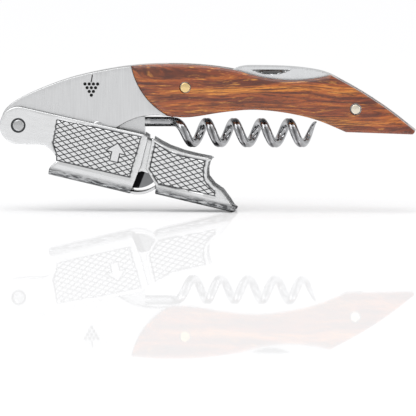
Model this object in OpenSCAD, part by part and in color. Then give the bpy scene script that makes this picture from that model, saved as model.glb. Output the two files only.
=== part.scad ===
// Waiter's corkscrew with a two-stage lever, a folding worm and a folding foil knife.
// X runs along the handle from the lever's end to the tail, Z up, Y through the thickness.
// Outlines are drawn in the XZ plane around the lever's pivot, and shift() stands them on Z = 0.

/* [Handle] */
// Length of the handle outline, from the head to the tail
handle_length = 122.2; // [110:0.1:146.7]
// Height of the handle outline, from the lobe under the worm's pivot to the crest
handle_height = 22.8; // [19:0.1:27.4]
// Space between the two liners
blade_gap = 3.2; // [3.2:0.1:4]
// Thickness of one liner
liner_t = 1.0; // [0.8:0.1:1.2]
// Thickness of one steel bolster
bolster_t = 1.6; // [1.3:0.1:2]
// Thickness of one wooden scale
scale_t = 2.8; // [2.3:0.1:3.4]
// Height of the back spring's strip along the belly
spring_h = 3.0; // [2.5:0.1:3.4]

/* [Pins] */
// Radius of the lever's pivot pin
lever_pin_r = 1.4; // [1.2:0.05:1.55]
// Radius of the riveted heads of the lever's pivot pin
lever_head_r = 1.65; // [1.6:0.05:2]
// Radius of the worm's pivot pin
worm_pin_r = 1.4; // [1.1:0.05:1.7]
// Radius of the brass pin through the scales
handle_pin_r = 1.42; // [1.15:0.01:1.7]
// Radius of the knife's pivot pin
knife_pin_r = 1.35; // [1.1:0.05:1.6]
// Radius of the pin between the two lever stages
hinge_pin_r = 0.9; // [0.75:0.05:1.1]
// Radial clearance between a pin and the piece that turns on it
running_gap = 0.05; // [0.02:0.01:0.09]

/* [Lever] */
// Angle at which the folded lever hangs below the handle
droop = 13; // [12:0.5:16]
// Depth of the first stage below the line of its pivots
first_depth = 12.2; // [10.2:0.1:14.6]
// Thickness of the lever's sheet steel
wall = 1.1; // [0.9:0.1:1.3]
// Space between a bolster and the lever's wall
side_gap = 0.7; // [0.6:0.05:0.9]
// Space between the first stage's wall and the second stage's ear
ear_gap = 0.1; // [0.05:0.01:0.2]
// Thickness of the leaf spring in the first stage
leaf_t = 0.45; // [0.3:0.05:0.5]

/* [Worm] */
// Outer diameter of the worm's coil
worm_d = 9.1; // [7.6:0.05:10.9]
// Diameter of the coiled wire
wire_d = 2.7; // [2.2:0.05:3]
// Diameter of the shank
shank_d = 2.9; // [2.4:0.05:3.1]
// Advance of the coil in one turn
pitch = 8.1; // [6.75:0.05:9.7]

/* [Knife] */
// Thickness of the blade
blade_t = 1.6; // [1.3:0.1:1.9]
// Number of scallops along the cutting edge
teeth = 15; // [8:1:18]

/* [Hidden] */
$fn = 64;
far = 200;

// Half thicknesses, from the middle plane outwards
gap_y = blade_gap / 2;
liner_y = gap_y + liner_t;
bolster_y = liner_y + bolster_t;
scale_y = liner_y + scale_t;
// The folded worm passes between the lever's walls
worm_side_gap = 0.35;
lever_in = max(bolster_y + side_gap, worm_d / 2 + worm_side_gap);
lever_out = lever_in + wall;
ear_out = lever_in - ear_gap;
ear_in = ear_out - wall;

// The outlines below are drawn at a handle 122.2 long and 22.8 high and a first stage 12.2 deep
kx = handle_length / 122.2;
kz = handle_height / 22.8;
kv = first_depth / 12.2;
function handle_pt(p) = [p[0] * kx, p[1] * kz];
function handle_pts(list) = [for (p = list) handle_pt(p)];
function lever_pt(p) = [p[0] * kx, p[1] * (p[1] < 0 ? kv : 1)];
function lever_pts(list) = [for (p = list) lever_pt(p)];

// Pivots, from the lever's pivot at [0, 0]
worm_pivot = handle_pt([23.2, -0.4]);
front_pin = handle_pt([49.3, 11.3]);
knife_pivot = handle_pt([99.5, 5.1]);
// The hinge between the stages and the second stage's tip and heel are given along and across the lever
hinge = [36.7 * kx, 9.2 - first_depth];
tip_pt = [68.2, -10.2];
heel_pt = [67.4, -10.6];
heel = lever_pt(heel_pt);

// Where the model stands: middle of its length, and the lever's lowest corner on Z = 0
ear_r = 5.5;
stand_x = -(116.8 * kx - ear_r) / 2;
stand_z = heel[0] * sin(droop) - heel[1] * cos(droop);

worm_hub_r = 4.2;
tang_r = 4.1;
knuckle_r = 7.3;
clear = 0.15;

// Catmull-Rom curve through a list of points, with n steps between neighbours
function knot(p, i) = p[max(0, min(len(p) - 1, i))];
function mix(a, b, c, d, t) = 0.5 * (2 * b + (c - a) * t + (2 * a - 5 * b + 4 * c - d) * t * t
    + (3 * b - a - 3 * c + d) * t * t * t);
function curve(p, n = 6) = [for (i = [0 : len(p) - 2], k = [0 : n - 1])
    mix(knot(p, i - 1), p[i], p[i + 1], knot(p, i + 2), k / n)];

module shift() { translate([stand_x, 0, stand_z]) children(); }
// A plate with an outline in XZ, from y0 to y1
module plate(y0, y1) { translate([0, y1, 0]) rotate([90, 0, 0]) linear_extrude(y1 - y0) children(); }
// The same plate on both sides
module plates(y0, y1) { plate(y0, y1) children(); plate(-y1, -y0) children(); }
module rod(at, r, y0, y1) { translate([at[0], y1, at[1]]) rotate([90, 0, 0]) cylinder(h = y1 - y0, r = r); }
module dot(at, r) { translate(at) circle(r); }
// The lever's own directions: along it and across it, turned down by its droop
module on_lever() { shift() rotate([0, droop, 0]) children(); }

// ---- Handle outlines ----
crest = [[-5.3, 0.4], [-4.5, 3.8], [-1.7, 6.7], [3.9, 9.7], [13.4, 13.4], [22.8, 15.8], [33.1, 17.5],
    [43, 18.1], [53.5, 17.8], [62.9, 16.6], [71.8, 14.35], [79.9, 13.5], [87, 14], [92.1, 15]];
back_slope = [[92.1, 15], [100.2, 10.6], [108.4, 5.3], [115.9, -0.5], [116.8, -1.5], [116.2, -2.3]];
belly = [[96.6, -1.7], [88.9, 1.5], [82, 3.35], [74.7, 4.45], [68, 4.75], [60, 3.95], [50.5, 2.5], [45.2, 2.7]];
head_under = [[40, -4.7], [23.2, -4.7], [2, -5.2], [-3.2, -4.2]];
bolster_cut = handle_pt([40.7, -16.6]);
bolster_cut_r = norm(handle_pt([39.8, 3.1]) - bolster_cut);
seam_centre = handle_pt([54.1, 21.6]);
seam_r = norm(handle_pt([33.4, 17.3]) - seam_centre);

module handle_outline() {
    difference() {
        polygon(concat(curve(handle_pts(crest)), curve(handle_pts(back_slope)),
            [handle_pt([116.2, -2.3])], curve(handle_pts(belly)), handle_pts(head_under)));
        dot(bolster_cut, bolster_cut_r);
    }
}
// Everything behind the round seam between bolster and wood
module behind_seam() {
    dot(seam_centre, seam_r);
    translate([seam_centre[0], -far / 2]) square([far, far]);
}
module pivot_holes() {
    dot([0, 0], lever_pin_r);
    dot(worm_pivot, worm_pin_r);
}

module liner(side) {
    color("silver") shift() plate(side < 0 ? -liner_y : gap_y, side < 0 ? -gap_y : liner_y)
        difference() {
            handle_outline();
            pivot_holes();
            dot(front_pin, handle_pin_r);
            dot(knife_pivot, knife_pin_r);
            for (p = liner_rivet_pts) dot(p, rivet_r);
        }
}
module liner_front() { liner(-1); }
module liner_back() { liner(1); }

module bolster(side) {
    color("gainsboro") shift() plate(side < 0 ? -bolster_y : liner_y, side < 0 ? -liner_y : bolster_y)
        difference() {
            handle_outline();
            behind_seam();
            pivot_holes();
        }
}
module bolster_front() { bolster(-1); }
module bolster_back() { bolster(1); }

module scale_side(side) {
    color("sienna") shift() plate(side < 0 ? -scale_y : liner_y, side < 0 ? -liner_y : scale_y)
        difference() {
            intersection() {
                handle_outline();
                behind_seam();
            }
            dot(front_pin, handle_pin_r);
            dot(knife_pivot, knife_pin_r);
        }
}
module scale_front() { scale_side(-1); }
module scale_back() { scale_side(1); }

// ---- Between the liners ----
rivet_r = 0.8;
liner_rivet_pts = handle_pts([[13, 9.2], [33, 14], [110.2, -0.9]]);

module front_spacer() {
    color("darkgray") shift() plate(-gap_y, gap_y) difference() {
        intersection() {
            handle_outline();
            polygon(handle_pts([[-9, -9], [9, -9], [9, 1.5], [16, 7.6], [44, 11.2], [44, 25], [-9, 25]]));
        }
        dot([0, 0], lever_pin_r);
        for (p = liner_rivet_pts) dot(p, rivet_r);
    }
}

module tail_spacer() {
    color("darkgray") shift() plate(-gap_y, gap_y) difference() {
        intersection() {
            handle_outline();
            polygon(handle_pts([[101.5, -6], [120, -6], [120, 0.35], [101.5, 0.35]]));
        }
        for (p = liner_rivet_pts) dot(p, rivet_r);
    }
}

// One spring for both ends: its front arm rests over the worm's hub, and its strip along
// the belly reaches back to the knife's tang
module back_spring() {
    strip = [for (p = curve(handle_pts(belly), 3)) if (p[0] > 55 * kx && p[0] < 95 * kx) p + [0, spring_h]];
    arm_z = worm_pivot[1] + worm_hub_r + clear;
    color("lightgray") shift() plate(-gap_y, gap_y) difference() {
        intersection() {
            handle_outline();
            polygon(concat([[worm_pivot[0] - 1, arm_z], [worm_pivot[0] + 4, arm_z]],
                handle_pts([[43, 5], [44.8, 1], [60, -6], [95.4, -6]]), strip,
                [front_pin + [4.6, -3.4], front_pin + [4.6, 3.6], front_pin + [-4.6, 3.6],
                front_pin + [-4.6, -3.2], [worm_pivot[0] - 1, arm_z + 2.1]]));
        }
        dot(front_pin, handle_pin_r);
        dot(knife_pivot, tang_r + clear);
    }
}

module liner_rivets() {
    color("gray") shift() for (p = liner_rivet_pts) rod(p, rivet_r, -liner_y, liner_y);
}

module handle_pin() { color("gold") shift() rod(front_pin, handle_pin_r, -scale_y, scale_y); }
module knife_pivot_pin() { color("khaki") shift() rod(knife_pivot, knife_pin_r, -scale_y, scale_y); }

// ---- Pivots of the lever and the worm ----
face_gap = 0.05;
pivot_washer_r = 3.6;
knife_washer_r = 3.4;
head_t = 0.5;
head_ring = 0.45;
// The heads lie in recesses of the lever's walls
head_floor = lever_out - head_t - face_gap;
module lever_pivot_pin() {
    color("silver") shift() {
        rod([0, 0], lever_pin_r, -lever_out, lever_out);
        for (y = [-lever_out, lever_out - head_t]) rod([0, 0], lever_head_r, y, y + head_t);
    }
}
module pivot_washers() {
    color("darkkhaki") shift() plates(bolster_y, lever_in - face_gap) difference() {
        circle(pivot_washer_r);
        circle(lever_pin_r);
    }
}
// Domed rivet heads stand in the space under the lever's walls
dome_h = 0.45;
dome_r = worm_pin_r + 0.25;
dome_ball = (dome_r * dome_r + dome_h * dome_h) / (2 * dome_h);
module worm_pivot_pin() {
    color("silver") shift() {
        rod(worm_pivot, worm_pin_r, -bolster_y, bolster_y);
        for (side = [-1, 1]) intersection() {
            translate([worm_pivot[0], side * (bolster_y + dome_h - dome_ball), worm_pivot[1]])
                sphere(dome_ball);
            rod(worm_pivot, far, side < 0 ? -far : bolster_y, side < 0 ? -bolster_y : far);
        }
    }
}

// ---- Knife ----
spine = [[101.6, 8.7], [97, 11.9], [92.7, 14.8], [91.5, 15.5], [87.7, 16.6], [80.3, 17.5], [70.6, 17.75],
    [66.2, 17.6], [63.4, 16.7], [61.2, 14.8]];
edge_from = 61.2;
edge_to = 92;
function edge_z(x) = 8.9 + 5.9 * pow((edge_to - x) / (edge_to - edge_from), 4);
nick_low = handle_pt([74.4, 14.9]);
nick_r = 12.6;
nick_h = 1.6;
nick_t = 0.5;
tooth_r = 0.8;
tooth_sink = 0.55;
module knife_outline() {
    difference() {
        union() {
            polygon(concat(curve(handle_pts(spine), 4),
                [for (i = [0 : 12]) let (x = edge_from + (edge_to - edge_from) * i / 12)
                    handle_pt([x, edge_z(x)])],
                [handle_pt([93.4, 7.2]), knife_pivot + [-tang_r, 0], knife_pivot]));
            dot(knife_pivot, tang_r);
        }
        dot(knife_pivot, knife_pin_r + running_gap);
        for (i = [1 : teeth]) let (x = edge_from + 3 + (edge_to - edge_from - 5) * i / teeth)
            dot(handle_pt([x, edge_z(x) - tooth_sink]), tooth_r);
    }
}
module foil_knife() {
    color("whitesmoke") shift() difference() {
        plate(-blade_t / 2, blade_t / 2) knife_outline();
        plate(-blade_t, nick_t - blade_t / 2) intersection() {
            dot(nick_low + [0, nick_r], nick_r);
            translate(nick_low + [-far / 2, nick_h - far]) square([far, far]);
        }
    }
}
module knife_washers() {
    color("darkkhaki") shift() plates(blade_t / 2 + face_gap, gap_y) difference() {
        dot(knife_pivot, knife_washer_r);
        dot(knife_pivot, knife_pin_r);
    }
}

// ---- Worm ----
hub_t = blade_gap - 0.2;
coil_r = (worm_d - wire_d) / 2;
// The shank lies just under the lowest stretch of the belly above it
belly_low = handle_pt([0, 2.5])[1];
belly_gap = 0.1;
shank_z = belly_low - belly_gap - shank_d / 2;
coil_z = shank_z - coil_r;
hub_end = [worm_pivot[0] + 13.9 * kx, worm_pivot[1] - 2.5];
stub_end = hub_end[0] + 1.6;
worm_end = 87.75 * kx;

module worm_hub() {
    color("lightgray") shift() {
        plate(-hub_t / 2, hub_t / 2) difference() {
            union() {
                dot(worm_pivot, worm_hub_r);
                polygon([worm_pivot + [0.5, worm_hub_r - 0.02], worm_pivot + [4, 3.9],
                    [hub_end[0] - 4, shank_z + shank_d / 2 + 0.35], [hub_end[0], shank_z + shank_d / 2],
                    hub_end, worm_pivot + [0.5, 0.02 - worm_hub_r]]);
            }
            dot(worm_pivot, worm_pin_r + running_gap);
        }
        translate([hub_end[0] - 1, 0, shank_z]) rotate([0, 90, 0])
            cylinder(h = stub_end - hub_end[0] + 1, r = shank_d / 2);
    }
}

// The wire leaves the stub straight along the top of the coil's cylinder, winds up to its full
// rate over a short ramp, and then turns evenly to its point
coil_from = stub_end + 5.5;
ramp = 6;
rate = 360 / pitch;
ramp_a = rate * ramp / 2;
end_a = ramp_a + rate * (worm_end - coil_from - ramp);
steps = ceil((end_a - ramp_a) / 22.5);
function wire_at(x, a) = [x, -coil_r * sin(a), coil_z + coil_r * cos(a), a];
wire_path = concat(
    [wire_at(stub_end, 0), wire_at(coil_from, 0)],
    [for (i = [1 : 8]) wire_at(coil_from + ramp * i / 8, ramp_a * i * i / 64)],
    [for (i = [1 : steps]) let (t = i / steps)
        wire_at(coil_from + ramp + (worm_end - coil_from - ramp) * t, ramp_a + (end_a - ramp_a) * t)]);
rings = len(wire_path);
sides = 10;
taper = 10;
point_r = 0.15;
function place(i) = [for (k = [0 : 2]) wire_path[i][k]];
function unit(v) = v / norm(v);
function along(i) = i < 2 ? [1, 0, 0] : unit(place(min(rings - 1, i + 1)) - place(i - 1));
function outward(i) = [0, -sin(wire_path[i][3]), cos(wire_path[i][3])];
function wire_r(i) = i > rings - 1 - taper
    ? max(point_r, wire_d / 2 * sqrt((rings - 1 - i) / taper))
    : shank_d / 2 + (wire_d - shank_d) / 2 * min(1, max(0, (i - 1) / 8));
function ring(i) = [for (k = [0 : sides - 1]) place(i) + wire_r(i) * (cos(360 * k / sides) * outward(i)
    + sin(360 * k / sides) * cross(along(i), outward(i)))];
module worm_spiral() {
    points = [for (i = [0 : rings - 1]) each ring(i)];
    skin = [for (i = [0 : rings - 2], k = [0 : sides - 1])
        let (n = (k + 1) % sides, a = i * sides, b = a + sides)
            each [[a + k, a + n, b + n], [a + k, b + n, b + k]]];
    color("dimgray") shift() polyhedron(points, concat([[for (k = [sides - 1 : -1 : 0]) k]], skin,
        [[for (k = [0 : sides - 1]) (rings - 1) * sides + k]]), convexity = 12);
}

// ---- First stage of the lever ----
hinge_pin_y = lever_out - 0.5;
leaf_from = 15.5 * kx;
leaf_length = 21 * kx;
leaf_w = 5.2;
leaf_pin_u = 20 * kx;
leaf_pin_r = 1.2;
leaf_head_t = 0.6;
leaf_head_r = 1.7;
web_v = wall - first_depth;
module rod_up(r) { translate([leaf_pin_u, 0, -first_depth]) cylinder(h = wall + leaf_t, r = r); }
first_end = lever_pts([[12, -12.2], [11.5, -11], [12, -9.7], [13.3, -7.8], [12.9, -6.3], [11.8, -5.3],
    [10.4, -4.4], [8.6, -3.9], [6.8, -4.1], [3.5, -4.9], [0.3, -5.4]]);
first_top = [[18, 5.6], [36.6, 5.9], [37.9, 5.5], [38.2, 4.3], [38, -3.2], [36.8, -11.1], [37.6, -12.2]];
lip_t = 0.8;
lip_r = first_depth + hinge[1];
bend_r = 1.8;
// Section of a folded channel, open towards the handle
module channel(half, floor_v, r) {
    translate([-half, floor_v + r]) square([2 * half, far]);
    translate([r - half, floor_v]) square([2 * (half - r), 2 * r]);
    for (side = [-1, 1]) dot([side * (half - r), floor_v + r], r);
}
module folded(floor_v) {
    translate([-2 * ear_r, 0, 0]) rotate([90, 0, 90]) linear_extrude(handle_length) difference() {
        channel(lever_out, floor_v, bend_r);
        channel(lever_in, floor_v + wall, bend_r - wall);
    }
}
module ring_arc(r0, r1, a0, a1) {
    intersection() {
        difference() {
            dot(hinge, r1);
            dot(hinge, r0);
        }
        polygon([hinge, for (i = [0 : 4]) let (a = a0 + (a1 - a0) * i / 4) hinge + 20 * [cos(a), sin(a)]]);
    }
}
module lever_first_stage() {
    color("silver") on_lever() difference() {
        union() {
            intersection() {
                folded(-first_depth);
                plate(-lever_out, lever_out) union() {
                    dot([0, 0], ear_r);
                    polygon(concat([[0, ear_r - 0.01]], lever_pts(first_top), first_end));
                }
            }
            plate(-ear_in, ear_in) ring_arc(lip_r - lip_t, lip_r, -96, -40);
        }
        rod([0, 0], lever_pin_r + running_gap, -far, far);
        rod([0, 0], lever_head_r + head_ring, -far, -head_floor);
        rod([0, 0], lever_head_r + head_ring, head_floor, far);
        rod(hinge, hinge_pin_r, -hinge_pin_y, hinge_pin_y);
        rod_up(leaf_pin_r);
    }
}

module lever_hinge_pin() {
    color("silver") on_lever() rod(hinge, hinge_pin_r, -hinge_pin_y, hinge_pin_y);
}
// Leaf spring along the web, with its free end under the knuckle
module leaf_spring() {
    color("lightsteelblue") on_lever() difference() {
        translate([leaf_from, -leaf_w / 2, web_v]) cube([leaf_length, leaf_w, leaf_t]);
        rod_up(leaf_pin_r);
    }
}
module leaf_rivet() {
    color("gray") on_lever() {
        rod_up(leaf_pin_r);
        translate([leaf_pin_u, 0, web_v + leaf_t]) cylinder(h = leaf_head_t, r = leaf_head_r);
    }
}

// ---- Second stage of the lever ----
second_pts = lever_pts([[39.4, 5.4], [41.8, 4.6], [44.6, 3.9], [49, 3.4], [53.4, 3.35], [57, 3.5], [58, 3.2],
    [57.2, 2.4], [57.2, 0], [57.8, -2.2], [60, -4], [62.8, -5.1], [65.5, -7.4], tip_pt, heel_pt,
    [44.2, -10.6], [43.6, -8], [39.6, -3.8]]);
second_floor = lever_pt([0, -10.6])[1];
// The ears stand inside the first stage's walls and are drawn inwards by a small step
module ear_outline() {
    intersection() {
        dot(hinge, 8);
        union() {
            dot(hinge, 2.6);
            polygon([hinge + [-2.4, 0], hinge + [-2, 7.4], hinge + [0.4, 7.8], hinge + [8, 6.2],
                hinge + [8, -2.4], hinge + [1.8, -1.9]]);
        }
    }
}
module lever_second_stage() {
    color("silver") on_lever() difference() {
        union() {
            intersection() {
                folded(second_floor);
                plate(-lever_out, lever_out) polygon(second_pts);
            }
            plates(ear_in, ear_out) ear_outline();
            plates(ear_out - 0.01, lever_in + 0.4) intersection() {
                ear_outline();
                polygon(second_pts);
            }
        }
        rod(hinge, hinge_pin_r + running_gap, -far, far);
    }
}

// Knuckle between the ears: two cheeks and the round bridge that the leaf spring bears on
module hinge_knuckle() {
    color("darkgray") on_lever() difference() {
        union() {
            plates(ear_in - 1.2, ear_in) intersection() {
                dot(hinge, knuckle_r);
                union() {
                    dot(hinge, 2.4);
                    polygon([hinge + [-2.3, -0.4], hinge + [-3, -far], hinge + [far, -far], hinge + [far, 1],
                        hinge + [1, 2]]);
                }
            }
            plate(-ear_in, ear_in) ring_arc(knuckle_r - 0.9, knuckle_r, -105, -25);
        }
        rod(hinge, hinge_pin_r + running_gap, -far, far);
    }
}

liner_front();
liner_back();
bolster_front();
bolster_back();
scale_front();
scale_back();
front_spacer();
tail_spacer();
back_spring();
liner_rivets();
handle_pin();
lever_pivot_pin();
pivot_washers();
worm_pivot_pin();
knife_pivot_pin();
knife_washers();
foil_knife();
worm_hub();
worm_spiral();
lever_first_stage();
leaf_spring();
leaf_rivet();
lever_hinge_pin();
lever_second_stage();
hinge_knuckle();
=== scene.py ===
import math

import bpy
import numpy as np
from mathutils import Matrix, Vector
from mathutils.geometry import delaunay_2d_cdt


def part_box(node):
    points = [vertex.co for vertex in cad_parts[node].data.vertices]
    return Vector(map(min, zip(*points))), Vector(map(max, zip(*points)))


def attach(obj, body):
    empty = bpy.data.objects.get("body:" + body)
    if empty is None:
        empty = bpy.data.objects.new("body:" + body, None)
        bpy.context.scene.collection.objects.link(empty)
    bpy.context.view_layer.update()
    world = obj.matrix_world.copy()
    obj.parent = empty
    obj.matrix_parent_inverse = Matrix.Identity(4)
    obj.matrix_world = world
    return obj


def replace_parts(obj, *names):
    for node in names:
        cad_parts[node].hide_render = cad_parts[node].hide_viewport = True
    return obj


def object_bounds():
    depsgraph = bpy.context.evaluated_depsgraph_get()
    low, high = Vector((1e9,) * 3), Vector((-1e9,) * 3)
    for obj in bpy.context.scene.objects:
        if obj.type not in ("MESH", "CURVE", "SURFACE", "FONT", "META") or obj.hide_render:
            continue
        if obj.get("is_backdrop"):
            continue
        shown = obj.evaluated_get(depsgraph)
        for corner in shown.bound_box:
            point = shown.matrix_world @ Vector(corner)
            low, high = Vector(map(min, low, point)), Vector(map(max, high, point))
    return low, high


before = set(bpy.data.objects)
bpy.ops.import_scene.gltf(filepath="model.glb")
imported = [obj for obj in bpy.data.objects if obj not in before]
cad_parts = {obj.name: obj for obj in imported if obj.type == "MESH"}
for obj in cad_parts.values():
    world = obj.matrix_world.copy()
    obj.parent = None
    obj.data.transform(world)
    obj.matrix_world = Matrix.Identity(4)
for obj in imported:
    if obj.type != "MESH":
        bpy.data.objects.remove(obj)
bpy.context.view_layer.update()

MM = 0.001
DROOP = math.radians(13)
COS, SIN = math.cos(DROOP), math.sin(DROOP)


def middle(node):
    """Centre of a CAD node in the XZ plane, in metres."""
    low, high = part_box(node)
    return np.array([(low.x + high.x) / 2, (low.z + high.z) / 2])


PIVOT = middle("lever_pivot_pin")
LEVER_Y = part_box("lever_first_stage")[1].y
BOLSTER_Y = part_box("bolster_back")[1].y
LINER_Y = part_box("bolster_back")[0].y
SCALE_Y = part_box("scale_back")[1].y
# Thickness of the lever's sheet, and outer radius of its bends
WALL = 1.1 * MM
BEND = 1.8 * MM
EAR_GAP = 0.1 * MM
EAR_IN = LEVER_Y - 2 * WALL - EAR_GAP


# ---- Flat outlines ----
def along_lever(points):
    """Row XZ points, in metres, as distances along and across the lever."""
    d = np.asarray(points, float) - PIVOT
    return np.stack([d[:, 0] * COS - d[:, 1] * SIN, d[:, 0] * SIN + d[:, 1] * COS], 1)


def from_lever(u, v):
    return PIVOT[0] + u * COS + v * SIN, PIVOT[1] - u * SIN + v * COS


def loops_at(node, y):
    """Closed outlines of a CAD node's flat face at this y, the longest first."""
    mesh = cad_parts[node].data
    used = set()
    for face in mesh.polygons:
        corners = [mesh.vertices[i].co for i in face.vertices]
        if all(abs(c.y - y) < 2e-5 for c in corners):
            keys = [(round(c.x, 6), round(c.z, 6)) for c in corners]
            used |= set(zip(keys, keys[1:] + keys[:1]))
    after = {a: b for a, b in used if (b, a) not in used}
    loops = []
    while after:
        start, at = next(iter(after.items()))
        loop = [start]
        del after[start]
        while at != start and at in after:
            loop.append(at)
            at = after.pop(at)
        loops.append(np.array(loop))
    return sorted(loops, key=lambda l: -np.abs(np.diff(l, axis=0)).sum())


def spaced(loop, step):
    """The loop with no side longer than step, and no points closer than a hundredth of a millimetre."""
    out = []
    for a, b in zip(loop, np.roll(loop, -1, axis=0)):
        length = np.linalg.norm(b - a)
        if length < 1e-5:
            continue
        count = max(1, math.ceil(length / step))
        out += [a + (b - a) * i / count for i in range(count)]
    return np.array(out)


def away(points, loops):
    """Distance of each point to the nearest side of the loops."""
    best = np.full(len(points), 1e9)
    for loop in loops:
        for a, b in zip(loop, np.roll(loop, -1, axis=0)):
            side = b - a
            t = np.clip(((points - a) @ side) / max(side @ side, 1e-18), 0, 1)
            best = np.minimum(best, np.linalg.norm(points - a - t[:, None] * side, axis=1))
    return best


def within(points, loops):
    """Whether each point lies inside the loops, with holes left out."""
    odd = np.zeros(len(points), bool)
    x, z = points[:, 0], points[:, 1]
    for loop in loops:
        for (ax, az), (bx, bz) in zip(loop, np.roll(loop, -1, axis=0)):
            crosses = (az > z) != (bz > z)
            with np.errstate(divide="ignore", invalid="ignore"):
                odd ^= crosses & (x < (bx - ax) * (z - az) / (bz - az) + ax)
    return odd


# ---- Meshes ----
def new_object(name, verts, faces, material, body, slot, angle=35):
    mesh = bpy.data.meshes.new(name)
    mesh.from_pydata([tuple(v) for v in verts], [], [tuple(f) for f in faces])
    mesh.validate()
    mesh.materials.append(material)
    mesh.polygons.foreach_set("use_smooth", [True] * len(mesh.polygons))
    mesh.set_sharp_from_angle(angle=math.radians(angle))
    obj = bpy.data.objects.new(name, mesh)
    bpy.context.scene.collection.objects.link(obj)
    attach(obj, body)
    return obj


def rounding(distance, width, height):
    """Depth of a rounded edge, at this distance from it."""
    t = np.clip(1 - distance / width, 0, 1)
    return height * (1 - np.sqrt(1 - t * t))


def sheet_mesh(loops, place, depth, thick, rim, grid, lines=(), step=0.6 * MM):
    """Vertices, faces, depths and flat points of a plate.

    loops are its outlines, place(points, t) puts flat points at t below the outer face,
    depth(points, distance to the edge) is the relief, rim holds the widths of the rings
    along the edge, grid is the spacing inside it, and lines are creases to keep."""
    loops = [spaced(l, step) for l in loops]
    points, edges = [], []
    for loop in loops:
        base = len(points)
        points += list(loop)
        edges += [(base + i, base + (i + 1) % len(loop)) for i in range(len(loop))]
    inner = []
    for loop in loops:
        side = np.roll(loop, -1, axis=0) - np.roll(loop, 1, axis=0)
        normal = np.stack([-side[:, 1], side[:, 0]], 1)
        normal /= np.linalg.norm(normal, axis=1)[:, None] + 1e-12
        for width in rim:
            for sign in (-1, 1):
                ring = loop + sign * width * normal
                inner.append(ring[within(ring, loops) & (away(ring, loops) > 0.85 * width)])
    low, high = loops[0].min(0), loops[0].max(0)
    xs = np.arange(low[0], high[0], grid)
    zs = np.arange(low[1], high[1], grid * 0.87)
    field = np.array([(x + (grid / 2 if j % 2 else 0), z) for j, z in enumerate(zs) for x in xs])
    field = field[within(field, loops)]
    field = field[away(field, loops) > max(rim) + grid * 0.4]
    inner.append(field)
    for line in lines:
        base = len(points)
        points += list(line)
        edges += [(base + i, base + i + 1) for i in range(len(line) - 1)]
    points = np.array(points)
    free = np.concatenate(inner)
    _, keep = np.unique(np.round(free / (0.06 * MM)), axis=0, return_index=True)
    flat_in = np.concatenate([points, free[keep]]) / MM
    made = delaunay_2d_cdt([Vector(p) for p in flat_in], edges, [], 0, 1e-4)
    flat = np.array([tuple(p) for p in made[0]]) * MM
    faces = np.array([f for f in made[2] if len(f) == 3])
    faces = faces[within(flat[faces].mean(1), loops)]
    a, b, c = (flat[faces[:, i]] for i in range(3))
    area = (b[:, 0] - a[:, 0]) * (c[:, 1] - a[:, 1]) - (b[:, 1] - a[:, 1]) * (c[:, 0] - a[:, 0])
    faces = faces[np.abs(area) > 1e-14]
    area = area[np.abs(area) > 1e-14]
    faces[area < 0] = faces[area < 0][:, ::-1]
    used, compact = np.unique(faces, return_inverse=True)
    flat, faces = flat[used], compact.reshape(-1, 3)
    t = depth(flat, away(flat, loops))
    count = len(flat)
    verts = np.concatenate([place(flat, t), place(flat, np.full(count, thick))])
    sides = set()
    for f in faces.tolist():
        sides |= {(f[0], f[1]), (f[1], f[2]), (f[2], f[0])}
    walls = [(b, a, a + count, b + count) for a, b in sides if (b, a) not in sides]
    skins = faces.tolist() + (faces[:, ::-1] + count).tolist()
    every_t = np.concatenate([t, np.zeros(count)])
    return verts, [tuple(f) for f in skins] + walls, every_t, np.tile(flat, (2, 1))


def sheet(name, loops, place, depth, thick, rim, grid, material, body, slot, lines=(),
          full=0.25 * MM, angle=35):
    """A plate as an object, with its depths and flat points as attributes.

    A relief this deep (full) counts as the floor of a groove."""
    verts, faces, t, flat = sheet_mesh(loops, place, depth, thick, rim, grid, lines)
    obj = new_object(name, verts, faces, material, body, slot, angle)
    groove = obj.data.attributes.new("groove", "FLOAT", "POINT")
    groove.data.foreach_set("value", np.clip(t / full, 0, 1))
    where = obj.data.attributes.new("flat", "FLOAT_VECTOR", "POINT")
    where.data.foreach_set("vector", np.column_stack([flat, np.zeros(len(flat))]).ravel())
    return obj


def facing(side, y):
    """Places flat XZ points on a face at distance y from the middle, on the front (-1) or back (1)."""
    def place(flat, t):
        return np.column_stack([flat[:, 0], side * (y - t), flat[:, 1]])
    return place


def lathe(name, centre, profile, material, body, slot, turns=64):
    """A turned piece about an axis along Y. profile is a list of radius and y, in metres."""
    verts, faces = [], []
    for r, y in profile:
        for k in range(turns):
            a = 2 * math.pi * k / turns
            verts.append((centre[0] + r * math.cos(a), y, centre[1] + r * math.sin(a)))
    for i in range(len(profile) - 1):
        for k in range(turns):
            n = (k + 1) % turns
            faces.append((i * turns + k, i * turns + n, (i + 1) * turns + n, (i + 1) * turns + k))
    faces.append(tuple(range(turns)))
    faces.append(tuple(reversed(range((len(profile) - 1) * turns, len(profile) * turns))))
    return new_object(name, verts, faces, material, body, slot)


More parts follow.
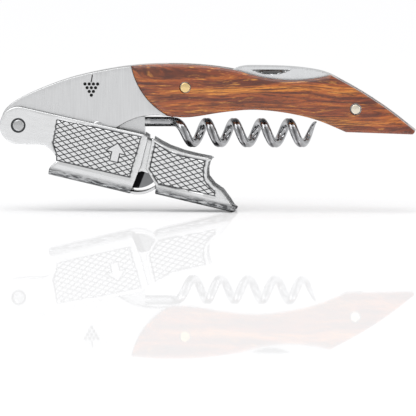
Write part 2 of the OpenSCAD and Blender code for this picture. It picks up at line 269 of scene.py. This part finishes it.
# ---- Materials ----
class Shader:
    """A principled material and short ways to build its nodes."""

    def __init__(self, name, color, metallic, roughness):
        self.material = bpy.data.materials.new(name)
        self.material.use_nodes = True
        self.tree = self.material.node_tree
        self.main = self.tree.nodes["Principled BSDF"]
        self.main.inputs["Base Color"].default_value = (*color, 1)
        self.main.inputs["Metallic"].default_value = metallic
        self.main.inputs["Roughness"].default_value = roughness

    def node(self, kind, links=(), **values):
        made = self.tree.nodes.new(kind)
        for key, value in values.items():
            setattr(made, key, value)
        for name, value in links:
            socket = made.inputs[name]
            if isinstance(value, bpy.types.NodeSocket):
                self.tree.links.new(value, socket)
            else:
                socket.default_value = value
        return made

    def coords(self, scale, attribute=None):
        if attribute:
            source = self.node("ShaderNodeAttribute", attribute_name=attribute).outputs["Vector"]
        else:
            source = self.node("ShaderNodeTexCoord").outputs["Object"]
        return self.node("ShaderNodeMapping", [("Vector", source), ("Scale", scale)]).outputs["Vector"]

    def noise(self, vector, detail=4, roughness=0.55, distortion=0.0, scale=1.0):
        return self.node("ShaderNodeTexNoise", [("Vector", vector), ("Scale", scale), ("Detail", detail),
                         ("Roughness", roughness), ("Distortion", distortion)]).outputs["Fac"]

    def ramp(self, value, stops):
        made = self.node("ShaderNodeValToRGB", [("Fac", value)])
        band = made.color_ramp
        while len(band.elements) < len(stops):
            band.elements.new(0.5)
        for element, (at, color) in zip(band.elements, stops):
            element.position = at
            element.color = (*color, 1) if len(color) == 3 else color
        return made.outputs["Color"]

    def remap(self, value, low, high, to_low, to_high):
        return self.node("ShaderNodeMapRange", [("Value", value), ("From Min", low), ("From Max", high),
                         ("To Min", to_low), ("To Max", to_high)]).outputs["Result"]

    def mix(self, factor, a, b, blend="MIX"):
        made = self.node("ShaderNodeMix", data_type="RGBA", blend_type=blend)
        for socket, value in zip((made.inputs[0], made.inputs[6], made.inputs[7]), (factor, a, b)):
            if isinstance(value, bpy.types.NodeSocket):
                self.tree.links.new(value, socket)
            else:
                color = isinstance(value, tuple) and len(value) == 3
                socket.default_value = (*value, 1) if color else value
        return made.outputs[2]

    def math(self, operation, a, b=0.0):
        return self.node("ShaderNodeMath", [(0, a), (1, b)], operation=operation).outputs[0]

    def bump(self, height, strength, distance):
        made = self.node("ShaderNodeBump", [("Height", height), ("Strength", strength), ("Distance", distance)])
        self.set("Normal", made.outputs["Normal"])

    def set(self, name, value):
        if isinstance(value, bpy.types.NodeSocket):
            self.tree.links.new(value, self.main.inputs[name])
        else:
            self.main.inputs[name].default_value = value


def steel(name, color, rough, grain, strength=0.25, grooves=None, wear=0.12, attribute=None,
          roll_dashes_and_shade=False, painted_shadow_band=None):
    """Metal with fine brushing, whose direction is in grain, and patches of handling wear.

    grooves is the colour in its grooves, rolled_dashes_and_shade adds dark dashes and painted shade
    on a folded edge that faces down, and painted_shadow_band is a direction and the distance along it where a
    black band of painted shadow ends."""
    s = Shader(name, color, 1.0, rough)
    lines = s.noise(s.coords(grain, attribute), detail=6, roughness=0.7)
    patches = s.noise(s.coords((90, 90, 90)), detail=3)
    spread = s.math("ADD", s.remap(lines, 0.3, 0.7, rough - 0.06, rough + 0.08),
                    s.remap(patches, 0.35, 0.7, -wear / 2, wear / 2))
    s.set("Roughness", spread)
    dull, bright = tuple(c * 0.86 for c in color), tuple(min(1, c * 1.08) for c in color)
    tone = s.mix(s.remap(lines, 0.25, 0.75, 0, 1), dull, bright)
    if grooves:
        mask = s.node("ShaderNodeAttribute", attribute_name="groove").outputs["Fac"]
        tone = s.mix(s.remap(mask, 0.25, 0.85, 0, 1), tone, grooves)
    # The folded edge faces down: it is darkened with painted shade, and carries dark dashes.
    if roll_dashes_and_shade:
        dashes = s.noise(s.coords((330, 1500, 1), "flat"), detail=3, roughness=0.7, distortion=0.6)
        roll = s.node("ShaderNodeAttribute", attribute_name="roll").outputs["Fac"]
        dark = s.ramp(dashes, [(0.42, (0.05, 0.052, 0.055)), (0.5, (0.24, 0.245, 0.25)),
                               (0.62, (0.42, 0.425, 0.43))])
        tone = s.mix(roll, tone, dark)
    # Painted shadow: black on the near side of this distance, fading out over a quarter millimetre.
    if painted_shadow_band:
        normal, start = painted_shadow_band
        where = s.node("ShaderNodeTexCoord").outputs["Object"]
        off = s.node("ShaderNodeVectorMath", [(0, where), (1, normal)],
                     operation="DOT_PRODUCT").outputs["Value"]
        tone = s.mix(s.remap(off, start, start + 0.25 * MM, 1.0, 0.0), tone, (0.008, 0.008, 0.009))
    s.set("Base Color", tone)
    s.bump(lines, strength, 0.00002)
    return s.material


def rosewood():
    s = Shader("rosewood", (0.42, 0.13, 0.04), 0.0, 0.3)
    warp = s.noise(s.coords((14, 40, 60)), detail=2)
    where = s.node("ShaderNodeTexCoord").outputs["Object"]
    bent = s.node("ShaderNodeVectorMath", [(0, where), (1, (1, 1, 1))], operation="MULTIPLY").outputs[0]
    lift = s.node("ShaderNodeCombineXYZ", [("Z", s.remap(warp, 0.3, 0.7, -0.0035, 0.0035))]).outputs[0]
    bent = s.node("ShaderNodeVectorMath", [(0, bent), (1, lift)], operation="ADD").outputs[0]
    broad, streak, flecks, pores = (
        s.noise(s.node("ShaderNodeMapping", [("Vector", bent), ("Scale", scale)]).outputs[0],
                detail=detail, roughness=rough)
        for scale, detail, rough in (((20, 60, 330), 5, 0.6), ((45, 200, 1300), 4, 0.6),
                                     ((170, 500, 1500), 3, 0.7), ((260, 900, 4200), 2, 0.55)))
    tone = s.ramp(broad, [(0.34, (0.12, 0.022, 0.007)), (0.44, (0.26, 0.052, 0.012)),
                          (0.52, (0.43, 0.11, 0.016)), (0.64, (0.7, 0.26, 0.035))])
    tone = s.mix(s.remap(streak, 0.4, 0.54, 0.8, 0.0), tone, (0.075, 0.014, 0.005))
    tone = s.mix(s.remap(flecks, 0.36, 0.45, 0.75, 0.0), tone, (0.07, 0.014, 0.006))
    tone = s.mix(s.remap(flecks, 0.57, 0.68, 0.0, 0.55), tone, (0.85, 0.36, 0.06))
    tone = s.mix(s.remap(pores, 0.36, 0.46, 0.6, 0.0), tone, (0.045, 0.01, 0.004))
    s.set("Base Color", tone)
    s.set("Roughness", s.remap(streak, 0.3, 0.7, 0.42, 0.26))
    s.set("Coat Weight", 0.35)
    s.set("Coat Roughness", 0.16)
    s.bump(pores, 0.35, 0.00006)
    return s.material


BOLSTER = steel("bolster_steel", (0.66, 0.665, 0.67), 0.33, (5200, 5200, 90), 0.35, (0.02, 0.02, 0.02))
LINER = steel("liner_steel", (0.55, 0.555, 0.56), 0.28, (120, 3000, 4200), 0.2)
LEVER = steel("lever_steel", (0.76, 0.765, 0.77), 0.24, (160, 3600, 1), 0.15, (0.06, 0.062, 0.065),
              attribute="flat", roll_dashes_and_shade=True)
BLADE = steel("blade_steel", (0.72, 0.73, 0.74), 0.2, (4800, 4800, 160), 0.25, (0.12, 0.12, 0.12))
SPRING = steel("spring_steel", (0.4, 0.405, 0.41), 0.3, (200, 2600, 2600), 0.2)
# The knuckle gets a black band of painted shadow next to the first stage's edge, which casts it, up to the
# distance below along the lever.
# The edge leans by EDGE_LEAN.
EDGE_LEAN = 0.152
SHADOW_BAND_TO = 40.1 * MM
ACROSS_EDGE = (COS - EDGE_LEAN * SIN, 0, -SIN - EDGE_LEAN * COS)
SHADOW_BAND_END = PIVOT[0] * ACROSS_EDGE[0] + PIVOT[1] * ACROSS_EDGE[2] + SHADOW_BAND_TO
# The knuckle's dark grey tone is painted shade, for its place deep inside the first stage's channel.
KNUCKLE = steel("knuckle_steel", (0.24, 0.245, 0.25), 0.42, (900, 900, 900), 0.3,
                painted_shadow_band=(ACROSS_EDGE, SHADOW_BAND_END))
WORM = steel("worm_steel", (0.42, 0.425, 0.435), 0.1, (700, 700, 700), 0.08, (0.12, 0.12, 0.124))
HUB = steel("hub_steel", (0.62, 0.625, 0.63), 0.24, (300, 3000, 3600), 0.2)
PIN = steel("pin_steel", (0.5, 0.505, 0.51), 0.22, (1800, 1800, 1800), 0.12)
BRASS = steel("brass", (0.83, 0.62, 0.3), 0.2, (1500, 1500, 1500), 0.12)
NICKEL = steel("nickel", (0.78, 0.72, 0.6), 0.2, (1500, 1500, 1500), 0.12)
BRONZE = steel("bronze", (0.5, 0.35, 0.17), 0.34, (1200, 1200, 1200), 0.15)
WOOD = rosewood()

CARRIED = {
    LINER: ["liner_front", "liner_back"],
    SPRING: ["front_spacer", "tail_spacer", "back_spring", "leaf_spring"],
    PIN: ["liner_rivets", "leaf_rivet", "lever_hinge_pin"],
    BRONZE: ["pivot_washers", "knife_washers"],
    HUB: ["worm_hub"],
    KNUCKLE: ["hinge_knuckle"],
}
for material, nodes in CARRIED.items():
    for name in nodes:
        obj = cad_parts[name]
        obj.data.materials.clear()
        obj.data.materials.append(material)


# ---- Scales and bolsters ----
def scales():
    for side, node in ((-1, "scale_front"), (1, "scale_back")):
        loops = loops_at(node, side * SCALE_Y)
        outer = loops[0]
        loops = [outer] + [spaced_circle(l.mean(0), PIN_RING) for l in loops[1:]]

        def crown(points, d, outer=outer):
            edge = away(points, [outer])
            return (rounding(edge, 3.6 * MM, SCALE_Y - BOLSTER_Y) + rounding(d, 0.12 * MM, 0.1 * MM)
                    + 0.1 * MM * np.clip(1 - edge / (7 * MM), 0, 1))
        made = sheet(node + "_domed", loops, facing(side, SCALE_Y), crown,
                     SCALE_Y - LINER_Y, [x * MM for x in (0.08, 0.25, 0.5, 0.85, 1.3, 1.8, 2.5, 3.3)],
                     1.1 * MM, WOOD, "handle", "rosewood", angle=60)
        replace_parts(made, node)


def grapes():
    """Centres of a small engraved bunch, in rows that shorten downwards, in row XZ metres."""
    top = PIVOT + np.array([21.5, 12.2]) * MM
    spots = []
    for row, count in enumerate((4, 3, 2, 1)):
        for i in range(count):
            spots.append(top + np.array([(i - (count - 1) / 2) * 1.25, -row * 1.1]) * MM)
    return spots


def bolsters():
    spots = grapes()
    radius = 0.5 * MM
    turn = np.linspace(0, 2 * math.pi, 21)
    circle = [np.array([math.cos(a), math.sin(a)]) for a in turn]
    lines = [[c + p * radius * k for p in circle] for c in spots for k in (1.0, 0.78, 0.5)]
    stem = [spots[0] + np.array([1.9, 0.9]) * MM, spots[0] + np.array([2.2, 2.6]) * MM]

    def engraved(points, d):
        near = np.min([np.linalg.norm(points - c, axis=1) for c in spots], axis=0)
        cup = 0.16 * MM * np.clip((radius - near) / (0.22 * radius), 0, 1)
        stalk = 0.14 * MM * np.clip((0.16 * MM - away(points, [np.array(stem)])) / (0.06 * MM), 0, 1)
        return rounding(d, 0.3 * MM, 0.22 * MM) + np.maximum(cup, stalk)
    a, b = stem
    across = np.array([b[1] - a[1], a[0] - b[0]]) / np.linalg.norm(b - a)
    lines += [[a + across * w * MM, b + across * w * MM] for w in (-0.16, -0.1, 0.1, 0.16)]
    for side, node in ((-1, "bolster_front"), (1, "bolster_back")):
        made = sheet(node + "_brushed", loops_at(node, side * BOLSTER_Y), facing(side, BOLSTER_Y), engraved,
                     BOLSTER_Y - LINER_Y, [x * MM for x in (0.06, 0.15, 0.3)], 1.6 * MM, BOLSTER, "handle",
                     "bolster_steel", lines, full=0.14 * MM)
        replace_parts(made, node)


# ---- Lever stages ----
# The corner under the second stage's tip, as distances across and along the lever
HEEL = (-10.6 * MM, -10.2 * MM), (67.4 * MM, 68.2 * MM)


def unrolled(node, floor_v):
    """Outlines of a folded stage laid flat: one wall, the bend and the web, and the mirrored wall."""
    loops = [along_lever(l) for l in loops_at(node, -LEVER_Y)]
    wall, holes = loops[0], loops[1:]
    bend_v = floor_v + BEND
    on_bend = np.abs(wall[:, 1] - bend_v) < 0.03 * MM
    left, right = wall[on_bend][:, 0].min(), wall[on_bend][:, 0].max()
    at = [i for i in np.where(on_bend)[0] if abs(wall[i, 0] - right) < 1e-6][0]
    ring = np.roll(wall, -at, axis=0)
    if abs(ring[1, 1] - bend_v) < 0.03 * MM:
        ring = np.roll(ring[::-1], 1, axis=0)
    end = [i for i, (u, v) in enumerate(ring) if abs(u - left) < 1e-6 and abs(v - bend_v) < 0.03 * MM][0]
    upper = ring[: end + 1]
    middle_w = bend_v - BEND * math.pi / 2 - (LEVER_Y - BEND)
    slope = (upper[0, 0] - upper[1, 0]) / (upper[0, 1] - upper[1, 1])
    bend = []
    for k in range(1, 7):
        a = math.pi / 2 * k / 6
        u = min(upper[0, 0] - slope * BEND * math.sin(a), np.interp(bend_v - BEND * math.sin(a), *HEEL))
        bend.append((u, bend_v - BEND * a))
    bend = np.array(bend)
    half = np.concatenate([bend[::-1], upper])
    mirror = np.column_stack([half[:, 0], 2 * middle_w - half[:, 1]])[::-1]
    outline = np.concatenate([half, mirror])
    both = [outline]
    for hole in holes:
        both += [hole, np.column_stack([hole[:, 0], 2 * middle_w - hole[:, 1]])]
    return both, middle_w


def folding(floor_v, middle_w):
    """Places the laid-flat points of a stage on its folded sheet."""
    bend_v = floor_v + BEND
    end_w = bend_v - BEND * math.pi / 2

    def place(flat, t):
        u = flat[:, 0]
        side = np.where(flat[:, 1] >= middle_w, -1.0, 1.0)
        w = middle_w + np.abs(flat[:, 1] - middle_w)
        angle = np.clip((bend_v - w) / BEND, 0, math.pi / 2)
        y = np.where(w >= bend_v, LEVER_Y - t,
                     np.where(w >= end_w, LEVER_Y - BEND + (BEND - t) * np.cos(angle), w - middle_w))
        v = np.where(w >= bend_v, w, np.where(w >= end_w, bend_v - (BEND - t) * np.sin(angle), floor_v + t))
        x, z = from_lever(u, v)
        return np.column_stack([x, side * y, z])
    return place


def line_cuts(a, direction, panel):
    """Where a line through a cuts the panel's sides."""
    cuts = []
    for p, q in zip(panel, np.roll(panel, -1, axis=0)):
        side = q - p
        det = direction[0] * -side[1] + side[0] * direction[1]
        if abs(det) < 1e-15:
            continue
        t, s = np.linalg.solve(np.array([direction, -side]).T, p - a)
        if 0 <= s < 1:
            cuts.append(t)
    return sorted(cuts)


# Half the diagonals of a hatch diamond, and half the width of a hatch line at its floor and at its top
CELL = np.array([2.75, 1.5]) * MM
LINE = (0.06 * MM, 0.135 * MM)


def hatch_lines(panel):
    """Creases at both edges of every hatch line inside the panel."""
    lines = []
    low, high = panel.min(0), panel.max(0)
    for sign in (-1, 1):
        direction = CELL * np.array([1, sign])
        direction /= np.linalg.norm(direction)
        normal = np.array([-direction[1], direction[0]])
        pitch = abs(CELL[0] * CELL[1]) / np.linalg.norm(CELL)
        corners = np.array([[x, z] for x in (low[0], high[0]) for z in (low[1], high[1])]) @ normal
        for k in range(math.floor(corners.min() / pitch), math.ceil(corners.max() / pitch) + 1):
            for off in (-LINE[1], -LINE[0], LINE[0], LINE[1]):
                base = normal * (k * pitch + off)
                cuts = line_cuts(base, direction, panel)
                for t0, t1 in zip(cuts[::2], cuts[1::2]):
                    if t1 - t0 > 0.4 * MM:
                        inset = 0.02 * MM
                        lines.append([base + direction * (t0 + inset), base + direction * (t1 - inset)])
    return lines


def hatch_depth(points, panel):
    """1 on the floor of a hatch line, 0 on a raised diamond and outside the panel."""
    pitch = abs(CELL[0] * CELL[1]) / np.linalg.norm(CELL)
    deep = np.zeros(len(points))
    for sign in (-1, 1):
        direction = CELL * np.array([1, sign])
        direction /= np.linalg.norm(direction)
        normal = np.array([-direction[1], direction[0]])
        off = points @ normal / pitch
        gap = np.abs(off - np.round(off)) * pitch
        deep = np.maximum(deep, np.clip((LINE[1] - gap) / (LINE[1] - LINE[0]), 0, 1))
    return np.where(within(points, [panel]), deep, 0)


def edge_depth(points, loop, width):
    """1 within a thin line along a loop."""
    return np.clip((width - away(points, [loop])) / (0.08 * MM), 0, 1)


def shrunk(loop, by):
    """The loop moved inwards (or outwards, where by is negative) by this much, with mitred corners."""
    before = loop - np.roll(loop, 1, axis=0)
    after = np.roll(loop, -1, axis=0) - loop
    turn = np.sign((before[:, 0] * after[:, 1] - before[:, 1] * after[:, 0]).sum())
    n0, n1 = (turn * np.column_stack([-d[:, 1], d[:, 0]]) / np.linalg.norm(d, axis=1)[:, None]
              for d in (before, after))
    return loop + by * (n0 + n1) / (1 + (n0 * n1).sum(1))[:, None]


ARROW = np.array([(0, 1.9), (2.7, -0.7), (1.05, -0.7), (1.05, -3.4), (-1.05, -3.4), (-1.05, -0.7),
                  (-2.7, -0.7)]) * MM
# Distances from the arrow at which the groove round it starts, is deep, ends being deep, and ends
ARROW_RINGS = np.array([0, 0.08, 0.22, 0.3]) * MM
HATCH_DEPTH = 0.24 * MM
# The recess round a pin's head: its depth, and its radius at its top and at its floor
RECESS_DEPTH = 0.55 * MM
RECESS = (2.2 * MM, 2.15 * MM)


def lever_stage(node, floor_v, panel, arrow_at, body, bore):
    """A lever stage as one folded sheet with its hatch, rim line and a roll that gets dark dashes and painted
    shade, as it faces down.
    """
    loops, middle_w = unrolled(node, floor_v)
    loops = [loops[0]] + [spaced_circle(l.mean(0), bore) for l in loops[1:]]
    panel = spaced(np.array(panel) * MM, 1.2 * MM)
    rest = np.array([arrow_at]) * MM + ARROW if arrow_at else None
    lines = []
    for line in hatch_lines(panel) + [list(panel) + [panel[0]], list(shrunk(panel, 0.25 * MM))]:
        lines.append(line)
        lines.append([np.array([p[0], 2 * middle_w - p[1]]) for p in line])
    if rest is not None:
        for by in ARROW_RINGS:
            ring = list(shrunk(spaced(rest, 0.4 * MM), -by))
            lines.append(ring + [ring[0]])
            lines.append([np.array([p[0], 2 * middle_w - p[1]]) for p in ring + [ring[0]]])

    def relief(points, d):
        up = np.column_stack([points[:, 0], middle_w + np.abs(points[:, 1] - middle_w)])
        deep = np.maximum(hatch_depth(up, panel), edge_depth(up, panel, 0.2 * MM))
        if rest is not None:
            off = away(up, [rest])
            outline = np.interp(off, ARROW_RINGS, (0, 1, 1, 0))
            deep = np.where(off < ARROW_RINGS[-1], outline, deep)
            deep = np.where(within(up, [rest]) | (off < 0.01 * MM), 0, deep)
        sunk = np.zeros(len(points))
        for hole in loops[1:]:
            near = np.linalg.norm(points - hole.mean(0), axis=1)
            part = np.clip((RECESS[0] - near) / (RECESS[0] - RECESS[1]), 0, 1)
            sunk = np.maximum(sunk, RECESS_DEPTH * part)
        return rounding(d, 0.3 * MM, 0.3 * MM) * (sunk == 0) + HATCH_DEPTH * deep + sunk
    for hole in loops[1:]:
        for r in RECESS:
            ring = list(spaced_circle(hole.mean(0), r))
            lines.append(ring + [ring[0]])
    made = sheet(node + "_hatched", loops, folding(floor_v, middle_w), relief, WALL,
                 [x * MM for x in (0.05, 0.14, 0.3)], 0.9 * MM, LEVER, body, "lever_steel", lines)
    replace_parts(made, node)
    flat = np.zeros(len(made.data.vertices) * 3)
    made.data.attributes["flat"].data.foreach_get("vector", flat)
    w = middle_w + np.abs(flat[1::3] - middle_w)
    # Mask of the roll along the folded bottom, which faces down and gets painted shade and dashes.
    roll = np.clip((floor_v + BEND + 0.7 * MM - w) / (0.9 * MM), 0, 1)
    made.data.attributes.new("roll", "FLOAT", "POINT").data.foreach_set("value", roll)


def spaced_circle(centre, radius, count=40):
    turn = np.arange(count) * 2 * math.pi / count
    return centre + radius * np.column_stack([np.cos(turn), np.sin(turn)])


def lip():
    """The curved end of the first stage's web, which reaches round under the knuckle."""
    hinge = middle("lever_hinge_pin")
    outer, thick, half = 9.2 * MM, 0.8 * MM, EAR_IN
    turn = np.radians(np.linspace(-94, -40, 24)) - DROOP
    ring = np.column_stack([np.cos(turn), np.sin(turn)])
    outline = np.concatenate([hinge + ring * outer, (hinge + ring * (outer - thick))[::-1]])
    sheet("lever_first_stage_lip", [outline], facing(-1, half),
          lambda p, d: rounding(d, 0.15 * MM, 0.15 * MM), 2 * half, [0.08 * MM, 0.2 * MM], 1 * MM,
          LEVER, "first_stage", "lever_steel")


def ears():
    """The second stage's ears, which stand inside the first stage's walls."""
    inner, outer = EAR_IN, EAR_IN + WALL
    for side in (-1, 1):
        loops = loops_at("lever_second_stage", side * inner)
        loops = [loops[0]] + [spaced_circle(l.mean(0), 0.95 * MM) for l in loops[1:2]]

        def place(flat, t, side=side):
            joined = np.clip((along_lever(flat)[:, 0] - 39.3 * MM) / (0.6 * MM), 0, 1) * 0.15 * MM
            return np.column_stack([flat[:, 0], side * (outer + joined * (t < 1 * MM) - t), flat[:, 1]])
        sheet("lever_second_stage_ear" + ("_front" if side < 0 else "_back"), loops, place,
              lambda p, d: rounding(d, 0.15 * MM, 0.15 * MM), outer - inner, [0.06 * MM, 0.16 * MM], 0.8 * MM,
              LEVER, "second_stage", "lever_steel")


# ---- Worm, knife and pins ----
# Radii of the shank and the wire, length of one turn, and lengths of the straight lead and the ramp
SHANK, WIRE, PITCH = 1.45 * MM, 1.35 * MM, 8.1 * MM
LEAD, RAMP = 5.5 * MM, 6 * MM


def worm():
    """A right-handed coil swept from a straight shank to a point, with a groove along its outside."""
    low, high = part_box("worm_spiral")
    coil = (high.y - low.y) / 2 - WIRE
    axis_z = high.z - SHANK - coil
    rate = 2 * math.pi / PITCH
    bend_end = low.x + LEAD + RAMP
    full = rate * RAMP / 2 + rate * (high.x - bend_end - 0.1 * MM)
    xs = list(np.linspace(low.x, low.x + LEAD, 6)) + list(np.linspace(low.x + LEAD, bend_end, 26))[1:]
    xs += list(np.linspace(bend_end, high.x - 0.1 * MM, 190))[1:]
    xs = np.array(xs)
    part = np.clip((xs - low.x - LEAD) / RAMP, 0, 1)
    angle = rate * RAMP / 2 * part ** 2 + rate * np.clip(xs - bend_end, 0, None)
    path = np.column_stack([xs, -coil * np.sin(angle), axis_z + coil * np.cos(angle)])
    along = np.gradient(path, axis=0)
    along /= np.linalg.norm(along, axis=1)[:, None]
    outward = np.column_stack([np.zeros(len(xs)), -np.sin(angle), np.cos(angle)])
    across = np.cross(along, outward)
    point = np.sqrt(np.clip((full - angle) / math.radians(230), 0, 1))
    size = (SHANK + (WIRE - SHANK) * part) * np.maximum(point, 0.06)
    sides = 28
    turn = np.linspace(0, 2 * math.pi, sides, endpoint=False)
    off = np.abs((turn + math.pi) % (2 * math.pi) - math.pi)
    groove = np.exp(-(off / 0.36) ** 2)
    verts, faces, deep = [], [], []
    for i in range(len(xs)):
        cut = 0.2 * part[i]
        r = size[i] * (1 - cut * groove)
        ring = path[i] + r[:, None] * (np.cos(turn)[:, None] * outward[i] + np.sin(turn)[:, None] * across[i])
        verts += list(ring)
        deep += list(groove * part[i])
    for i in range(len(xs) - 1):
        for k in range(sides):
            n = (k + 1) % sides
            faces.append((i * sides + k, i * sides + n, (i + 1) * sides + n, (i + 1) * sides + k))
    faces.append(tuple(range(sides - 1, -1, -1)))
    faces.append(tuple(range((len(xs) - 1) * sides, len(xs) * sides)))
    made = new_object("worm_coil", verts, faces, WORM, "worm", "worm_steel", 60)
    made.data.attributes.new("groove", "FLOAT", "POINT").data.foreach_set("value", deep)
    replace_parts(made, "worm_spiral")


def knife():
    """The blade, with a hollow nail nick and soft edges."""
    low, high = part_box("foil_knife")
    half = (high.y - low.y) / 2
    loops = loops_at("foil_knife", -half)
    pivot = middle("knife_pivot_pin")
    hole = min(loops[1:], key=lambda l: np.linalg.norm(l.mean(0) - pivot))
    nick = next(l for l in loops[1:] if l is not hole)
    outline = loops[0]

    def ground(points, d):
        cup = np.where(within(points, [nick]), np.clip(away(points, [nick]) / (0.5 * MM), 0, 1), 0)
        return rounding(d, 0.2 * MM, 0.18 * MM) + 0.5 * MM * np.sqrt(cup)
    lines = [list(nick) + [nick[0]]]
    made = sheet("foil_knife_ground", [outline, hole], facing(-1, half), ground, 2 * half,
                 [0.07 * MM, 0.2 * MM], 0.5 * MM, BLADE, "knife", "blade_steel", lines, full=0.5 * MM)
    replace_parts(made, "foil_knife")


# Radius of the hole in a scale round its pin
PIN_RING = 1.7 * MM


def dome(radius, y, rise, steps=6):
    """Profile points of a domed end, from its middle out to its edge."""
    turn = [math.pi / 2 * i / steps for i in range(steps + 1)]
    return [(max(radius * math.sin(a), 0.02 * MM), y + rise * math.cos(a)) for a in turn]


def pins():
    ends = [("handle_pin", "handle", BRASS, "brass", 0.22, 0),
            ("knife_pivot_pin", "handle", NICKEL, "nickel", 0.22, 0),
            ("lever_pivot_pin", "handle", PIN, "pin_steel", 0.3, 0.5),
            ("worm_pivot_pin", "handle", PIN, "pin_steel", 0.45, 0.45)]
    for node, body, material, slot, rise, head in ends:
        low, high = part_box(node)
        radius = (high.x - low.x) / 2
        end = dome(radius, high.y - rise * MM, rise * MM)
        if head:
            shank = 1.4 * MM
            base = high.y - head * MM
            end += [(radius, base), (shank, base)] if base < end[-1][1] - 1e-6 else [(shank, base)]
        profile = end + [(r, -y) for r, y in reversed(end)]
        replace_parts(lathe(node + "_domed", middle(node), profile, material, body, slot), node)


FIRST_PANEL = [(10.8, 4.2), (36.1, 5.0), (35.4, -7.3), (13.5, -7.5), (12.6, -5.1), (11.2, -2.8)]
SECOND_PANEL = [(40.6, 4.2), (44.8, 2.7), (49, 2.2), (56.2, 2.4), (56.1, -0.2), (57, -3.0), (59.2, -4.9),
                (60.8, -5.6), (61.2, -6.9), (44.2, -7.3), (40.7, -3.6)]


def lever():
    lever_stage("lever_first_stage", -12.2 * MM, FIRST_PANEL, (29.9, -0.4), "first_stage", 1.55 * MM)
    lever_stage("lever_second_stage", -10.6 * MM, SECOND_PANEL, None, "second_stage", 1.0 * MM)


# ---- Camera, floor and light ----
def camera():
    low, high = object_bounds()
    cam = bpy.data.objects.new("camera", bpy.data.cameras.new("camera"))
    bpy.context.scene.collection.objects.link(cam)
    azimuth, elevation = math.radians(4), math.radians(4.5)
    flat = math.cos(elevation)
    back = Vector((math.sin(azimuth) * flat, -math.cos(azimuth) * flat, math.sin(elevation)))
    target = Vector(((low.x + high.x) / 2, 0, 0.0009))
    reach = 1.5
    cam.location = target + back * reach
    cam.rotation_mode = "QUATERNION"
    cam.rotation_quaternion = (-back).to_track_quat("-Z", "Y")
    cam.data.sensor_width = 36
    cam.data.lens = 36 * reach / ((high.x - low.x) * 1.005)
    cam.data.clip_end = 20
    bpy.context.scene.camera = cam


def floor():
    """A white table that mirrors the object faintly."""
    s = Shader("floor", (0.92, 0.92, 0.925), 0.0, 0.6)
    s.set("Specular IOR Level", 0.0)
    s.set("Roughness", s.remap(s.noise(s.coords((40, 40, 40)), detail=3), 0.3, 0.7, 0.55, 0.65))
    mirror = s.node("ShaderNodeBsdfGlossy", [("Color", (0.95, 0.95, 0.96, 1)), ("Roughness", 0.02)])
    both = s.node("ShaderNodeMixShader", [("Fac", 0.3)])
    s.tree.links.new(s.main.outputs[0], both.inputs[1])
    s.tree.links.new(mirror.outputs[0], both.inputs[2])
    s.tree.links.new(both.outputs[0], s.tree.nodes["Material Output"].inputs["Surface"])
    mesh = bpy.data.meshes.new("floor")
    mesh.from_pydata([(-4, -4, 0), (4, -4, 0), (4, 4, 0), (-4, 4, 0)], [], [(0, 1, 2, 3)])
    mesh.materials.append(s.material)
    obj = bpy.data.objects.new("floor", mesh)
    bpy.context.scene.collection.objects.link(obj)
    obj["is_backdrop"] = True


def light(name, at, size, watts, aim=(0, 0, 0.02)):
    data = bpy.data.lights.new(name, "AREA")
    data.shape = "RECTANGLE"
    data.size, data.size_y = size
    data.energy = watts
    obj = bpy.data.objects.new(name, data)
    bpy.context.scene.collection.objects.link(obj)
    obj.location = at
    obj.rotation_mode = "QUATERNION"
    obj.rotation_quaternion = (Vector(aim) - Vector(at)).to_track_quat("-Z", "Y")


def lights():
    world = bpy.data.worlds.new("studio")
    world.use_nodes = True
    world.node_tree.nodes["Background"].inputs["Color"].default_value = (1, 1, 1, 1)
    world.node_tree.nodes["Background"].inputs["Strength"].default_value = 0.8
    bpy.context.scene.world = world
    bpy.context.scene.view_settings.view_transform = "Standard"
    sun = bpy.data.lights.new("sky", "SUN")
    sun.energy = 1.25
    sun.angle = math.radians(50)
    sky = bpy.data.objects.new("sky", sun)
    sky.rotation_euler = (math.radians(14), math.radians(-10), 0)
    bpy.context.scene.collection.objects.link(sky)
    light("key", (-0.55, -0.8, 0.7), (0.5, 0.4), 1.6)
    light("fill", (0.9, -0.5, 0.3), (0.2, 0.5), 0.9)


scales()
bolsters()
lever()
lip()
ears()
worm()
knife()
pins()
camera()
floor()
lights()
